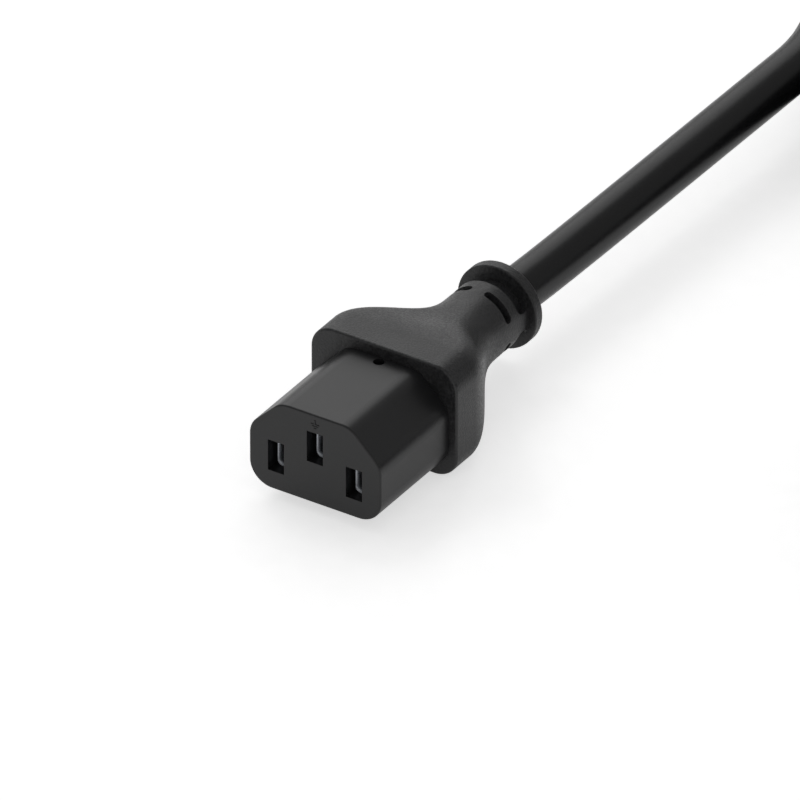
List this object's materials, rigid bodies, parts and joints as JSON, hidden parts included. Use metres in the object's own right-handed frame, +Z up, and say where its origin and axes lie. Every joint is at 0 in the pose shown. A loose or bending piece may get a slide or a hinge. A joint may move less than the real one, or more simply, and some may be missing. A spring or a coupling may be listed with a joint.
{
  "type": "power extension cord",
  "caption": "Round three-core power extension cord with a moulded appliance connector on one end and an inlet plug on the other, the spare length coiled and tied.",
  "frame": {"origin": "centre of the bottom of the connector's box, cord and plug left out: under the middle of the connector, on the surface that its collar rests on", "axes": "+Y runs back along the connector from its mating face to the cord, +X across its width, +Z up through the collar, towards the earth pole"},
  "size_m": [0.1087, 0.2079, 0.021],
  "materials": {
    "moulded_pvc": "satin moulded soft PVC",
    "insert_plastic": "satin moulded hard insert",
    "cord_jacket": "extruded PVC jacket, low gloss",
    "contact_nickel": "nickel plated sheet",
    "pin_nickel": "nickel plated brass",
    "copper_strand": "bare stranded copper",
    "line_insulation": "brown core insulation",
    "neutral_insulation": "blue core insulation",
    "earth_insulation": "green and yellow core insulation",
    "tie_fabric": "woven hook and loop band"
  },
  "bodies": {
    "root": {"connector_shell": "moulded_pvc", "connector_nose": "insert_plastic", "connector_line_contact": "contact_nickel", "connector_line_strands": "copper_strand", "connector_line_lead": "line_insulation", "connector_neutral_contact": "contact_nickel", "connector_neutral_strands": "copper_strand", "connector_neutral_lead": "neutral_insulation", "connector_earth_contact": "contact_nickel", "connector_earth_strands": "copper_strand", "connector_earth_lead": "earth_insulation", "cord_run": "cord_jacket", "cord_coil": "cord_jacket", "coil_tie": "tie_fabric", "cord_tail": "cord_jacket", "plug_shell": "moulded_pvc", "plug_pin_holder": "insert_plastic", "plug_line_pin": "pin_nickel", "plug_line_strands": "copper_strand", "plug_line_lead": "line_insulation", "plug_neutral_pin": "pin_nickel", "plug_neutral_strands": "copper_strand", "plug_neutral_lead": "neutral_insulation", "plug_earth_pin": "pin_nickel", "plug_earth_strands": "copper_strand", "plug_earth_lead": "earth_insulation"}
  },
  "joints": []
}
